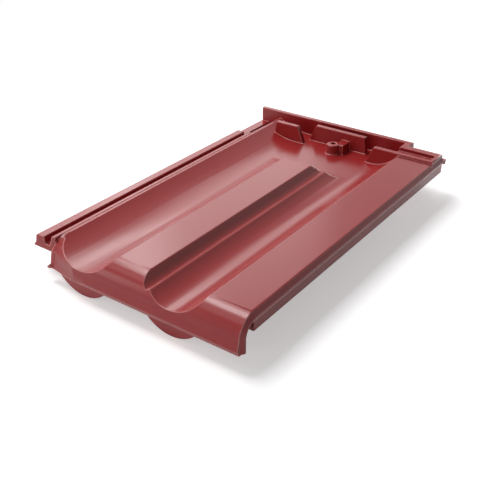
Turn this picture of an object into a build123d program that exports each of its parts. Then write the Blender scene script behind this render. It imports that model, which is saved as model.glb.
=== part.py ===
from build123d import *
import os

os.makedirs("parts", exist_ok=True)

# A double-trough interlocking clay roof tile, pressed and fired as one piece.
# X runs across the tile, from the side lock to the cover flange.
# Y runs up the roof slope, from the foot with its apron to the head with its lock ribs.
# Z is up. All sizes are in millimetres.
# While it is built, X counts from the middle of the central plateau, Y from the face of the apron
# and Z from the top of the plateaus. The finished tile is then set on the floor.

# Overall sizes
tile_length = 400.0
rest_depth = 47.0

# Widths across the tile, from the middle of the central plateau outwards
central_plateau_width = 36.5
lock_trough_width = 76.0
cover_trough_width = 65.0
cover_plateau_width = 41.0
lock_crest_width = 7.5
lock_groove_width = 10.8
lock_rib_width = 10.5

# Where the lock-side trough is deepest, as a share of its width from the central plateau
lock_trough_lean = 0.45

# Depths below the plateaus
trough_depth = 17.5
lock_crest_drop = 6.5
lock_rib_drop = 10.0
lock_groove_drop = 17.0
lock_flange_depth = 22.5

# Walls
wall = 11.0
flange_thickness = 11.0
lock_wall_draft = 1.4
parting_burr = 3.2

# Cove that repeats the look of a covered joint beside the central plateau
cove_width = 11.3
cove_depth = 9.8
cove_wall_run = 4.0
cove_wall_depth = 6.9
cove_floor_inset = 3.6
cove_ridge_drop = 8.0

# Hanging rib under the edge of the cover flange
cover_rib_width = 7.0
cover_rib_depth = 23.5
cover_rib_draft = 1.0
flange_edge_inset = 2.0

# Apron at the foot
apron_depth = 33.0
apron_thickness = 9.5
apron_nose_radius = 20.0
apron_lip_height = 7.0
apron_lip_overhang = 2.2

# Swept-back corner of the foot on the lock side
corner_start = 35.0
corner_end = 3.0
corner_foot_setback = 2.7
corner_slope = 0.6

# Half-round feet under the troughs
foot_setback = 3.0
foot_length = 16.0
foot_radius = 37.0

# Basin before the head lock
basin_start = 283.0
basin_slope = 62.0

# Head lock
head_rib_height = 2.6
head_rib_thickness = 5.6
rib_draft = 1.5
rib_edge_radius = 1.0
inner_rib_thickness = 5.5
outer_rib_face = 361.0
middle_rib_face = 378.5
side_rib_left_end = -51.0
middle_rib_left = -35.5
middle_rib_right = 30.5
cover_rib_left = 52.5
low_rib_start = 338.0
low_rib_drop = 14.5

# Raised frame at the head corner on the cover side
frame_start = 357.5
frame_end = 387.0
frame_rim = 5.0
frame_basin_depth = 4.8
frame_groove_width = 3.2
frame_groove_depth = 1.8
jog_left = 76.0
jog_right = 84.0

# Nail boss and its web
boss_position = 362.0
boss_radius = 8.0
boss_skirt_radius = 10.0
boss_top_drop = 6.2
nail_radius = 3.2
web_width = 10.0
web_offset = 8.0
web_drop = 0.6

# Hanging lugs under the head
lug_width = 34.0
lug_thickness = 14.0
lug_draft = 2.5
lug_face = 350.0

# Places across the tile worked out from the widths
plateau_half = central_plateau_width / 2
crest_inner = -plateau_half - lock_trough_width
crest_outer = crest_inner - lock_crest_width
lock_rib_inner = crest_outer - lock_groove_width
lock_edge = lock_rib_inner - lock_rib_width
cover_plateau_start = plateau_half + cover_trough_width
cover_edge = cover_plateau_start + cover_plateau_width
ridge = plateau_half + cove_width
lock_trough_middle = -plateau_half - lock_trough_width * lock_trough_lean
cover_trough_middle = cover_plateau_start - cover_trough_width / 2
root = -trough_depth - wall / 2
clear = 60.0


def prism_along_y(outline, start, end):
    """Solid from an outline drawn across the tile, in X and Z."""
    face = Plane.XZ.offset(-start) * make_face(outline)
    return extrude(face, amount=end - start, dir=(0, 1, 0))


def prism_along_x(outline, start, end):
    """Solid from an outline drawn along the tile, in Y and Z."""
    face = Plane.YZ.offset(start) * make_face(outline)
    return extrude(face, amount=end - start, dir=(1, 0, 0))


def block(x, y, z):
    """Solid box from its limits along each axis."""
    size = Vector(x[1] - x[0], y[1] - y[0], z[1] - z[0])
    centre = Vector(sum(x) / 2, sum(y) / 2, sum(z) / 2)
    return Pos(centre) * Box(size.X, size.Y, size.Z)


def top_outline():
    """Upper surface of the tile across its width, from the lock edge to the cover edge."""
    lock = Polyline(
        (lock_edge - parting_burr, -lock_flange_depth),
        (lock_edge - lock_wall_draft, -lock_flange_depth + parting_burr),
        (lock_edge, -lock_rib_drop),
        (lock_rib_inner, -lock_rib_drop),
        (lock_rib_inner + lock_wall_draft, -lock_groove_drop),
        (crest_outer - 2 * lock_wall_draft, -lock_groove_drop),
        (crest_outer, -lock_crest_drop),
        (crest_inner, -lock_crest_drop),
    )
    lock_trough_floor = (lock_trough_middle, -trough_depth)
    cover_trough_floor = (cover_trough_middle, -trough_depth)
    ridge_point = (ridge, -cove_ridge_drop)
    cove = Polyline(
        (plateau_half, 0),
        (plateau_half + cove_wall_run, -cove_wall_depth),
        (ridge - cove_floor_inset, -cove_depth),
        ridge_point,
    )
    return [
        lock,
        TangentArc(lock_trough_floor, (crest_inner, -lock_crest_drop), tangent=(-1, 0)),
        TangentArc(lock_trough_floor, (-plateau_half, 0), tangent=(1, 0)),
        Line((-plateau_half, 0), (plateau_half, 0)),
        cove,
        TangentArc(cover_trough_floor, ridge_point, tangent=(-1, 0)),
        TangentArc(cover_trough_floor, (cover_plateau_start, 0), tangent=(1, 0)),
        Line((cover_plateau_start, 0), (cover_edge, 0)),
    ]


def bottom_outline():
    """Underside of the tile across its width, from the cover edge back to the lock edge."""
    rib_outer = cover_edge - flange_edge_inset
    rib_inner = rib_outer - cover_rib_width
    lock_side = -plateau_half + wall / 2
    cover_side = plateau_half - wall / 2
    lock_floor = (lock_trough_middle, -trough_depth - wall)
    cover_floor = (cover_trough_middle, -trough_depth - wall)
    hollow_end = (cover_plateau_start + wall / 2, -wall)
    lock_corner = (crest_inner + wall, -lock_flange_depth)
    return [
        Polyline(
            (cover_edge, 0),
            (cover_edge, -flange_thickness),
            (rib_outer, -flange_thickness),
            (rib_outer, -cover_rib_depth),
            (rib_inner, -cover_rib_depth),
            (rib_inner - cover_rib_draft, -wall),
            hollow_end,
        ),
        TangentArc(cover_floor, hollow_end, tangent=(1, 0)),
        TangentArc(cover_floor, (cover_side, -wall), tangent=(-1, 0)),
        Line((cover_side, -wall), (lock_side, -wall)),
        TangentArc(lock_floor, (lock_side, -wall), tangent=(1, 0)),
        TangentArc(lock_floor, lock_corner, tangent=(-1, 0)),
        Polyline(lock_corner, (lock_edge - parting_burr, -lock_flange_depth)),
    ]


def tile_body():
    """Main body with one section all the way up the slope."""
    return prism_along_y(Curve() + top_outline() + bottom_outline(), -apron_lip_overhang, tile_length)


def filled_below_top(depth, corner, start, end):
    """Everything between the upper surface and a flat bottom, from a lock-side corner to the cover edge."""
    closing = Polyline(
        (cover_edge, 0),
        (cover_edge, -depth),
        (corner, -depth),
        (corner, -lock_flange_depth),
        (lock_edge - parting_burr, -lock_flange_depth),
    )
    return prism_along_y(Curve() + top_outline() + [closing], start, end)


def apron_block():
    """Thick front wall that hangs from the foot, before its face is rounded."""
    corner = crest_inner - lock_wall_draft * 3
    return filled_below_top(apron_depth, corner, -apron_lip_overhang, apron_thickness)


def foot_trimmer():
    """What lies in front of the rounded nose and face of the apron."""
    nose_start = (apron_nose_radius, 0)
    nose_end = (0, -apron_nose_radius)
    lip_top = (-apron_lip_overhang, -apron_depth + apron_lip_height)
    edge = [
        Polyline((apron_nose_radius, clear), nose_start),
        TangentArc(nose_start, nose_end, tangent=(-1, 0)),
        Polyline(
            nose_end,
            lip_top,
            (0, -apron_depth),
            (0, -clear),
            (-clear, -clear),
            (-clear, clear),
            (apron_nose_radius, clear),
        ),
    ]
    return prism_along_x(Curve() + edge, lock_edge - clear, cover_edge + clear)


def corner_trimmer():
    """Sweeps the foot back on the lock side, where the next tile's apron comes down in front."""
    def section(x, setback, slope):
        low = setback
        high = setback + slope * (apron_depth + clear / 2)
        points = [(-clear, -clear), (low - slope * (clear - apron_depth), -clear), (high, clear / 2), (-clear, clear / 2)]
        return Plane.YZ.offset(x) * make_face(Polyline(points, close=True))
    start = section(crest_inner + corner_start, 0, 0)
    end = section(crest_inner + corner_end, corner_foot_setback, corner_slope)
    swept = loft([end, start], ruled=True)
    straight = extrude(end, amount=clear, dir=(-1, 0, 0))
    return swept + straight


def basin_bed():
    """Thickness under the basin, where the hollow below the central plateau ends."""
    outline = Polyline(
        (basin_start - wall, 0),
        (basin_start - wall, -wall),
        (basin_start + basin_slope - wall / 2, -trough_depth - wall),
        (tile_length, -trough_depth - wall),
        (tile_length, 0),
        close=True,
    )
    bed = prism_along_x(outline, lock_trough_middle, cover_trough_middle)
    return bed & filled_below_top(clear, crest_inner, basin_start - wall, tile_length)


def basin_cutter():
    """Hollow where the central plateau slopes down to the level of the troughs."""
    outline = Polyline(
        (basin_start, 0),
        (basin_start + basin_slope, -trough_depth),
        (tile_length - head_rib_thickness, -trough_depth),
        (tile_length - head_rib_thickness, clear),
        (basin_start, clear),
        close=True,
    )
    return prism_along_x(outline, lock_trough_middle, cover_trough_middle)


def rib_outline(front, thickness, height, foot):
    """Side view of an upright rib with drafted faces and rounded top edges."""
    return FilletPolyline(
        (front - rib_draft, foot),
        (front, height),
        (front + thickness, height),
        (front + thickness + rib_draft, foot),
        radius=(0, rib_edge_radius, rib_edge_radius, 0),
        close=True,
    )


def head_ribs():
    """Tall rib across the head and the three shorter ribs in front of it."""
    tall_face = tile_length - head_rib_thickness
    tall_outline = FilletPolyline(
        (tall_face - rib_draft, root),
        (tall_face, head_rib_height),
        (tile_length, head_rib_height),
        (tile_length, root),
        radius=(0, rib_edge_radius, rib_edge_radius, 0),
        close=True,
    )
    tall = prism_along_x(tall_outline, lock_edge, jog_right)
    front_rib = rib_outline(outer_rib_face, inner_rib_thickness, head_rib_height, root)
    middle_rib = rib_outline(middle_rib_face, inner_rib_thickness, head_rib_height, root)
    return [
        tall,
        prism_along_x(front_rib, crest_inner, side_rib_left_end),
        prism_along_x(middle_rib, middle_rib_left, middle_rib_right),
        prism_along_x(front_rib, cover_rib_left, cover_plateau_start + frame_rim),
    ]


def head_frame():
    """Raised rectangular frame round a shallow basin at the head corner on the cover side."""
    top = head_rib_height
    outer = block((jog_left, cover_edge), (outer_rib_face, frame_end), (-flange_thickness, top))
    jog = block((jog_left, jog_right), (frame_end - frame_rim, tile_length), (-wall, top))
    basin = block(
        (cover_plateau_start - clear, cover_edge - frame_rim),
        (outer_rib_face + inner_rib_thickness, frame_end - frame_rim),
        (top - frame_basin_depth, clear),
    )
    return outer, jog, basin


def nail_boss():
    """Cone-shaped boss for the nail, with a web that ties it to the middle rib."""
    cone = Cone(boss_skirt_radius, boss_radius, -boss_top_drop - root, align=(Align.CENTER, Align.CENTER, Align.MIN))
    web = block(
        (web_offset - web_width / 2, web_offset + web_width / 2),
        (boss_position, middle_rib_face + inner_rib_thickness / 2),
        (root, -boss_top_drop - web_drop),
    )
    return Pos(0, boss_position, root) * cone + web


def half_round_foot(middle):
    """Short half-round foot under a trough, just behind the apron's face."""
    outline = Curve() + [
        CenterArc((middle, -rest_depth + foot_radius), foot_radius, 180, 180),
        Line((middle - foot_radius, -rest_depth + foot_radius), (middle + foot_radius, -rest_depth + foot_radius)),
    ]
    whole = prism_along_y(outline, foot_setback, foot_setback + foot_length)
    keep = block(
        (middle - foot_radius, middle + foot_radius),
        (foot_setback, foot_setback + foot_length),
        (-rest_depth, root),
    )
    return whole & keep


def hanging_lug(middle):
    """Lug that hooks over the batten."""
    outline = Polyline(
        (lug_face, root),
        (lug_face, -rest_depth),
        (lug_face + lug_thickness - lug_draft, -rest_depth),
        (lug_face + lug_thickness, root),
        close=True,
    )
    return prism_along_x(outline, middle - lug_width / 2, middle + lug_width / 2)


def build_tile():
    """Joins every form into the one fired piece."""
    tile = tile_body() + apron_block() + basin_bed()
    tile -= basin_cutter()
    for rib in head_ribs():
        tile += rib
    outer, jog, basin = head_frame()
    tile += outer
    tile += jog
    tile -= basin
    tile += nail_boss()
    tile -= Pos(0, boss_position, -rest_depth) * Cylinder(nail_radius, 2 * clear)
    tile -= block(
        (cover_plateau_start, cover_edge + clear),
        (frame_start, frame_start + frame_groove_width),
        (-frame_groove_depth, clear),
    )
    tile -= block((jog_right, cover_edge + clear), (frame_end, tile_length + clear), (-clear, clear))
    tile -= block(
        (lock_edge - clear, lock_rib_inner + lock_wall_draft),
        (low_rib_start, tile_length - head_rib_thickness),
        (-low_rib_drop, clear),
    )
    for middle in (lock_trough_middle, cover_trough_middle):
        tile += half_round_foot(middle)
        tile += hanging_lug(middle)
    tile -= foot_trimmer()
    tile -= corner_trimmer()
    return tile


tile = build_tile()
box = tile.bounding_box()
tile = Pos(-box.center().X, -box.center().Y, rest_depth) * tile
export_step(tile, "parts/clay_roof_tile.step")
print("solids", len(tile.solids()), "volume cm3", round(tile.volume / 1000, 1), "size", tile.bounding_box().size)
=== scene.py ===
"""Builds and dresses the clay roof tile: its pressed shape, its fired finish, the studio and the camera.

The sizes of the tile are in millimetres. X runs across it from the side lock to the cover flange and counts
from the middle of the central plateau, Y runs up the roof slope from the apron's face, and Z counts from the
top of the plateaus. The finished mesh is in metres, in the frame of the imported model, where the tile stands
on the floor.
"""

import logging
import math
from collections.abc import Callable, Iterator
from contextlib import contextmanager
from dataclasses import dataclass, field
from enum import Enum

import bmesh
import bpy
from mathutils import Matrix, Vector

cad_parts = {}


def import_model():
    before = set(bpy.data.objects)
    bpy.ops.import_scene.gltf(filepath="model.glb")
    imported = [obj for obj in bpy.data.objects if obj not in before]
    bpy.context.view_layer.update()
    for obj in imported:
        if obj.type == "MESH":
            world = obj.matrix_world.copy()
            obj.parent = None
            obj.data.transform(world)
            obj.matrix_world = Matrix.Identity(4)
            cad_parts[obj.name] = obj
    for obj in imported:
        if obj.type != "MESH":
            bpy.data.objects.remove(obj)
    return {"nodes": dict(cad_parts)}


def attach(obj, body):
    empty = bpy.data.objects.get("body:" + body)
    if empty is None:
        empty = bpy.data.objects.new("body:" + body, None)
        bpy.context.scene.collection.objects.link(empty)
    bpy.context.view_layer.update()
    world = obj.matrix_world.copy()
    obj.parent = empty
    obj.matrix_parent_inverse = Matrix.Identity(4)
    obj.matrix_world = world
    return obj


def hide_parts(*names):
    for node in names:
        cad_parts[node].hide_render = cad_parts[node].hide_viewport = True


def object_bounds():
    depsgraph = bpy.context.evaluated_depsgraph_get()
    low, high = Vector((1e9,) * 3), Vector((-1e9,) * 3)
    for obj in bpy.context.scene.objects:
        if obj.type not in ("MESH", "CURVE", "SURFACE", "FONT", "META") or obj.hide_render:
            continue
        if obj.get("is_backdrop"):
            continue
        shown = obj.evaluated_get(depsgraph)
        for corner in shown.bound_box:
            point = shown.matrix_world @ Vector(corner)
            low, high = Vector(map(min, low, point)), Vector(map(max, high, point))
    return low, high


Colour = tuple[float, float, float, float]
Point = tuple[float, float, float]
Flat = tuple[float, float]
Span = tuple[float, float]
EdgeTest = Callable[[Vector, Vector], bool]
Wire = tuple[bpy.types.Node, str | int, bpy.types.Node, str | int]
Group = tuple[bpy.types.NodeTree, bpy.types.Node, bpy.types.Node]

CLEAR = 60.0
HAIR = 0.01
SEAM = 0.0005
SAME_LENGTH = 1e-6
TINY = 1e-9
ARC_STEP = math.radians(3.5)

logging.basicConfig(level=logging.INFO, format="%(message)s")
log = logging.getLogger("clay_roof_tile")


class Axis(Enum):
    """Axes that a flat outline can be pressed along."""

    ALONG = "y"
    ACROSS = "x"


class Joining(Enum):
    """Ways to join one lump of clay with another."""

    ADD = "UNION"
    CUT = "DIFFERENCE"
    KEEP = "INTERSECT"


def arc(start: Flat, end: Flat, tangent: Flat, count: int = 0) -> list[Flat]:
    """Points on the circular arc that leaves one point along a tangent and ends at another.

    Args:
        start: First point.
        end: Last point.
        tangent: Direction of the arc at its first point.
        count: Number of pieces, or 0 for as many as the bend needs.

    Returns:
        The points, with both ends.
    """
    base = Vector(start)
    chord = Vector(end) - base
    along = Vector(tangent).normalized()
    side = Vector((-along.y, along.x))
    radius = chord.length_squared / (2.0 * chord.dot(side))
    centre = base + side * radius
    sweep = 2.0 * math.atan2(chord.dot(side), chord.dot(along))
    pieces = count or max(3, math.ceil(abs(sweep) / ARC_STEP))
    arm = base - centre
    turned = [centre + Matrix.Rotation(sweep * i / pieces, 2) @ arm for i in range(pieces + 1)]
    return [tuple(point) for point in turned[:-1]] + [tuple(end)]


def plate(x: Span, y: Span, z: float) -> list[Point]:
    """Lists the corners of a level rectangle, from its limits across and along."""
    return [(x[0], y[0], z), (x[1], y[0], z), (x[1], y[1], z), (x[0], y[1], z)]


@dataclass
class Outline:
    """Closed flat outline, drawn corner by corner, with corners that may be rounded."""

    points: list[Flat] = field(default_factory=list)
    radii: list[float] = field(default_factory=list)

    def to(self, *corners: Flat, radius: float = 0.0) -> "Outline":
        """Goes straight to one or more corners.

        Args:
            corners: The corners in order.
            radius: Radius that rounds each of them.

        Returns:
            The outline itself.
        """
        self.points.extend(corners)
        self.radii.extend([radius] * len(corners))
        return self

    def leave(self, end: Flat, tangent: Flat, radius: float = 0.0, count: int = 0) -> "Outline":
        """Adds an arc that leaves the last corner along a tangent.

        Args:
            end: Corner that the arc ends at.
            tangent: Direction in which it leaves.
            radius: Radius that rounds its end.
            count: Number of pieces, or 0 for as many as it needs.

        Returns:
            The outline itself.
        """
        bend = arc(self.points[-1], end, tangent, count)[1:]
        self.to(*bend)
        self.radii[-1] = radius
        return self

    def arrive(self, end: Flat, tangent: Flat) -> "Outline":
        """Adds an arc that ends at a corner, with the tangent there pointing back along it."""
        return self.to(*arc(end, self.points[-1], tangent)[-2::-1])

    def at(self, length: float, lengths: list[float]) -> Vector:
        """Finds the point at a length along the closed outline.

        Args:
            length: Length from the first corner.
            lengths: Length at which each corner lies, and at the end the whole length.

        Returns:
            The point.
        """
        wanted = length % lengths[-1]
        index = max(i for i, reached in enumerate(lengths[:-1]) if reached <= wanted + TINY)
        start = Vector(self.points[index])
        end = Vector(self.points[(index + 1) % len(self.points)])
        share = (wanted - lengths[index]) / max(lengths[index + 1] - lengths[index], TINY)
        return start.lerp(end, share)

    def softened(self, pieces: int = 4) -> list[Flat]:
        """Rounds the corners that have a radius.

        Args:
            pieces: Number of pieces in each rounded corner.

        Returns:
            Points of the finished outline.
        """
        count = len(self.points)
        lengths = [0.0]
        for i in range(count):
            step = Vector(self.points[(i + 1) % count]) - Vector(self.points[i])
            lengths.append(lengths[-1] + step.length)
        bends: list[tuple[float, float, list[Flat]]] = []
        for i, radius in enumerate(self.radii):
            if not radius:
                continue
            corner = Vector(self.points[i])
            before = corner - Vector(self.points[i - 1])
            after = Vector(self.points[(i + 1) % count]) - corner
            turn = before.angle(after)
            reach = radius * math.tan(turn / 2.0)
            start = self.at(lengths[i] - reach, lengths)
            end = self.at(lengths[i] + reach, lengths)
            pull = 4.0 / 3.0 * math.tan(turn / 4.0) / math.tan(turn / 2.0)
            first, second = start.lerp(corner, pull), end.lerp(corner, pull)
            bend = []
            for k in range(pieces + 1):
                t = k / pieces
                u = 1.0 - t
                spot = start * u**3 + first * 3 * u * u * t + second * 3 * u * t * t + end * t**3
                bend.append((spot.x, spot.y))
            bends.append((lengths[i] - reach, lengths[i] + reach, bend))
        whole = lengths[-1]
        placed: list[tuple[float, Flat]] = []
        for i in range(count):
            laps = [lengths[i] + lap for lap in (-whole, 0, whole)]
            spans = [(low - SAME_LENGTH, high + SAME_LENGTH) for low, high, _ in bends]
            if not any(low < here < high for low, high in spans for here in laps):
                placed.append((lengths[i], self.points[i]))
        for low, high, bend in bends:
            for k, spot in enumerate(bend):
                placed.append(((low + (high - low) * k / (len(bend) - 1)) % whole, spot))
        return [spot for _, spot in sorted(placed, key=lambda item: item[0])]


class PressDie:
    """Geometry Nodes tree that presses a flat face out into a solid bar."""

    name = "press_die"
    weld_distance = 0.0001

    def tree(self) -> bpy.types.NodeTree:
        """Builds the tree once.

        Returns:
            Tree with inputs Face, Stroke and Clay.
        """
        if self.name in bpy.data.node_groups:
            return bpy.data.node_groups[self.name]
        takes = {"Face": "Geometry", "Stroke": "Vector", "Clay": "Material"}
        tree, inside, outside = node_group(self.name, "GeometryNodeTree", takes, {"Bar": "Geometry"})
        push = node_at(tree, "GeometryNodeExtrudeMesh", -500, 100, {"Individual": False})
        back = node_at(tree, "GeometryNodeFlipFaces", -500, -200)
        both = node_at(tree, "GeometryNodeJoinGeometry", -200, 0)
        weld = node_at(tree, "GeometryNodeMergeByDistance", 50, 0, {"Distance": self.weld_distance})
        plain = node_at(tree, "GeometryNodeRealizeInstances", 300, 0)
        paint = node_at(tree, "GeometryNodeSetMaterial", 550, 0)
        wire(tree, (inside, "Face", push, "Mesh"), (inside, "Stroke", push, "Offset"),
             (inside, "Face", back, "Mesh"), (push, "Mesh", both, "Geometry"),
             (back, "Mesh", both, "Geometry"), (both, "Geometry", weld, "Geometry"),
             (weld, "Geometry", plain, "Geometry"), (plain, "Geometry", paint, "Geometry"),
             (inside, "Clay", paint, "Material"), (paint, "Geometry", outside, "Bar"))
        return tree

    def press(self, corners: list[Point], stroke: Point, clay: bpy.types.Material) -> bpy.types.Mesh:
        """Presses a face out.

        Args:
            corners: Corners of the face.
            stroke: Direction and length of the stroke.
            clay: Material of the bar.

        Returns:
            Mesh of the closed bar.
        """
        start = bpy.data.meshes.new("press_face")
        start.from_pydata(corners, [], [tuple(range(len(corners)))])
        tool = placed("press_face", start)
        tree = self.tree()
        modifier = tool.modifiers.new("press", "NODES")
        modifier.node_group = tree
        sockets = {item.name: item.identifier for item in tree.interface.items_tree if item.in_out == "INPUT"}
        modifier[sockets["Stroke"]] = stroke
        modifier[sockets["Clay"]] = clay
        mesh = evaluated_mesh(tool)
        bpy.data.objects.remove(tool)
        return mesh


def placed(name: str, data: bpy.types.ID) -> bpy.types.Object:
    """Makes an object and puts it in the scene.

    Args:
        name: Name of the object.
        data: Its mesh, lamp or camera.

    Returns:
        The object.
    """
    thing = bpy.data.objects.new(name, data)
    bpy.context.scene.collection.objects.link(thing)
    return thing


def evaluated_mesh(thing: bpy.types.Object) -> bpy.types.Mesh:
    """Makes a plain mesh of an object with its modifiers.

    Args:
        thing: The object.

    Returns:
        New mesh.
    """
    graph = bpy.context.evaluated_depsgraph_get()
    graph.update()
    final = thing.evaluated_get(graph)
    return bpy.data.meshes.new_from_object(final, preserve_all_data_layers=True, depsgraph=graph)


def node_at(tree: bpy.types.NodeTree, kind: str, x: float, y: float, values: dict | None = None,
            **settings: str | int) -> bpy.types.Node:
    """Adds a node to a tree at a place in the editor.

    Args:
        tree: Node tree that gets the node.
        kind: Blender's name for the type of node.
        x: Place from left to right.
        y: Place from bottom to top.
        values: Values of its inputs, by their name or number.
        settings: Settings of the node itself.

    Returns:
        The new node.
    """
    node = tree.nodes.new(kind)
    node.location = (x, y)
    for name, setting in settings.items():
        setattr(node, name, setting)
    for name, value in (values or {}).items():
        node.inputs[name].default_value = value
    return node


def node_group(name: str, kind: str, takes: dict[str, str], gives: dict[str, str]) -> Group:
    """Makes a node group with its sockets.

    Args:
        name: Name of the group.
        kind: Blender's name for the type of tree.
        takes: Name and type of each input.
        gives: Name and type of each output.

    Returns:
        The group, the node of its inputs and the node of its outputs.
    """
    tree = bpy.data.node_groups.new(name, kind)
    for way, sockets in (("INPUT", takes), ("OUTPUT", gives)):
        for socket, value in sockets.items():
            tree.interface.new_socket(socket, in_out=way, socket_type="NodeSocket" + value)
    return tree, node_at(tree, "NodeGroupInput", -800, 0), node_at(tree, "NodeGroupOutput", 900, 0)


def wire(tree: bpy.types.NodeTree, *wires: Wire) -> None:
    """Joins nodes of a tree, each pair given as a node, its output, the next node and its input."""
    for giver, output, taker, value in wires:
        tree.links.new(giver.outputs[output], taker.inputs[value])


@contextmanager
def opened(mesh: bpy.types.Mesh) -> Iterator[bmesh.types.BMesh]:
    """Opens a mesh for changes and writes them back.

    Args:
        mesh: The mesh.

    Yields:
        Its corners, edges and faces.
    """
    shape = bmesh.new()
    shape.from_mesh(mesh)
    yield shape
    shape.to_mesh(mesh)
    shape.free()


class Clay:
    """Closed lump of clay, in millimetres, that can be joined with others."""

    def __init__(self, mesh: bpy.types.Mesh) -> None:
        """Takes over a closed mesh and turns its faces outwards.

        Args:
            mesh: The mesh.
        """
        self.mesh = mesh
        with opened(mesh) as shape:
            bmesh.ops.recalc_face_normals(shape, faces=shape.faces)

    def joined(self, other: "Clay", way: Joining) -> "Clay":
        """Joins another lump.

        Args:
            other: The other lump.
            way: Whether it is added, cut away or what both share is kept.

        Returns:
            The new lump.
        """
        base, tool = placed("base", self.mesh), placed("tool", other.mesh)
        modifier = base.modifiers.new("join", "BOOLEAN")
        modifier.operation = way.value
        modifier.solver = "MANIFOLD"
        modifier.object = tool
        mesh = evaluated_mesh(base)
        for thing in (base, tool):
            bpy.data.objects.remove(thing)
        if not mesh.polygons:
            raise ValueError("the lumps left nothing when joined: " + way.name)
        return Clay(mesh)

    def __add__(self, other: "Clay") -> "Clay":
        """Adds another lump."""
        return self.joined(other, Joining.ADD)

    def __sub__(self, other: "Clay") -> "Clay":
        """Cuts another lump away."""
        return self.joined(other, Joining.CUT)

    def __and__(self, other: "Clay") -> "Clay":
        """Keeps what both lumps share."""
        return self.joined(other, Joining.KEEP)

    def beveled(self, chosen: EdgeTest, radius: float, pieces: int = 3) -> "Clay":
        """Rounds edges.

        Args:
            chosen: Test that an edge's two ends pass where it is rounded.
            radius: Radius of the rounding.
            pieces: Number of pieces in it.

        Returns:
            The lump itself.
        """
        with opened(self.mesh) as shape:
            edges = [edge for edge in shape.edges if chosen(edge.verts[0].co, edge.verts[1].co)]
            bmesh.ops.bevel(shape, geom=edges, offset=radius, segments=pieces, profile=0.5, affect="EDGES",
                            clamp_overlap=True)
        return self

    @staticmethod
    def pressed(outline: Outline, axis: Axis, span: Span) -> "Clay":
        """Presses a flat outline into a bar.

        Args:
            outline: Outline across the tile, in X and Z, or along it, in Y and Z.
            axis: Axis of the bar.
            span: Where the bar starts and ends.

        Returns:
            The bar.
        """
        spots = outline.softened()
        length = span[1] - span[0]
        clay = ENGOBE.material()
        if axis is Axis.ALONG:
            return Clay(PressDie().press([(u, span[0], v) for u, v in spots], (0.0, length, 0.0), clay))
        return Clay(PressDie().press([(span[0], u, v) for u, v in spots], (length, 0.0, 0.0), clay))

    @staticmethod
    def block(x: Span, y: Span, z: Span) -> "Clay":
        """Makes a block from its limits along each axis."""
        return Clay.lofted([plate(x, y, height) for height in z])

    @staticmethod
    def lofted(loops: list[list[Point]]) -> "Clay":
        """Spans a closed skin between loops with as many points each.

        Args:
            loops: The loops in order.

        Returns:
            The lump, closed by the first and last loop.
        """
        count = len(loops[0])
        vertices = [point for loop in loops for point in loop]
        faces = [tuple(range(count)), tuple(range(len(vertices) - count, len(vertices)))]
        for ring in range(len(loops) - 1):
            for i in range(count):
                k = (i + 1) % count
                low, high = ring * count, (ring + 1) * count
                faces.append((low + i, low + k, high + k, high + i))
        mesh = bpy.data.meshes.new("lofted")
        mesh.from_pydata(vertices, [], faces)
        mesh.materials.append(ENGOBE.material())
        return Clay(mesh)

    @staticmethod
    def turned(side: list[Flat], centre: Flat, count: int = 40) -> "Clay":
        """Turns a half outline about an upright axis.

        Args:
            side: Half outline as radius and height, from the axis round to the axis.
            centre: Place of the axis.
            count: Number of pieces round it.

        Returns:
            The lump.
        """
        mesh = bpy.data.meshes.new("turned")
        with opened(mesh) as shape:
            spots = [shape.verts.new((centre[0] + r, centre[1], z)) for r, z in side]
            edges = [shape.edges.new(pair) for pair in zip(spots, spots[1:])]
            bmesh.ops.spin(shape, geom=spots + edges, cent=(*centre, 0.0), axis=(0.0, 0.0, 1.0),
                           angle=2.0 * math.pi, steps=count, use_duplicate=False)
            bmesh.ops.remove_doubles(shape, verts=shape.verts, dist=SEAM)
        mesh.materials.append(ENGOBE.material())
        return Clay(mesh)


@dataclass(frozen=True)
class KilnMottle:
    """Soft clouds and fine grain that firing leaves in the colour and gloss of clay."""

    name: str = "kiln_mottle"
    cloud_scale: float = 14.0
    cloud_detail: float = 3.0
    grain_scale: float = 900.0
    grain_detail: float = 2.0

    def group(self) -> bpy.types.NodeTree:
        """Builds the shared group once.

        Returns:
            Group with inputs Vector, Dark, Light and Grain, and outputs Colour, Cloud and Height.
        """
        if self.name in bpy.data.node_groups:
            return bpy.data.node_groups[self.name]
        takes = {"Vector": "Vector", "Dark": "Color", "Light": "Color", "Grain": "Float"}
        gives = {"Colour": "Color", "Cloud": "Float", "Height": "Float"}
        tree, inside, outside = node_group(self.name, "ShaderNodeTree", takes, gives)
        cloud = node_at(tree, "ShaderNodeTexNoise", -500, 200,
                        {"Scale": self.cloud_scale, "Detail": self.cloud_detail})
        grain = node_at(tree, "ShaderNodeTexNoise", -500, -200,
                        {"Scale": self.grain_scale, "Detail": self.grain_detail})
        blend = node_at(tree, "ShaderNodeMix", 0, 100, data_type="FLOAT")
        paint = node_at(tree, "ShaderNodeMix", 300, 100, data_type="RGBA")
        wire(tree, (inside, "Vector", cloud, "Vector"), (inside, "Vector", grain, "Vector"),
             (inside, "Grain", blend, 0), (cloud, "Fac", blend, 2), (grain, "Fac", blend, 3),
             (blend, 0, paint, 0), (inside, "Dark", paint, 6), (inside, "Light", paint, 7),
             (paint, 2, outside, "Colour"), (cloud, "Fac", outside, "Cloud"),
             (grain, "Fac", outside, "Height"))
        return tree


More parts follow.
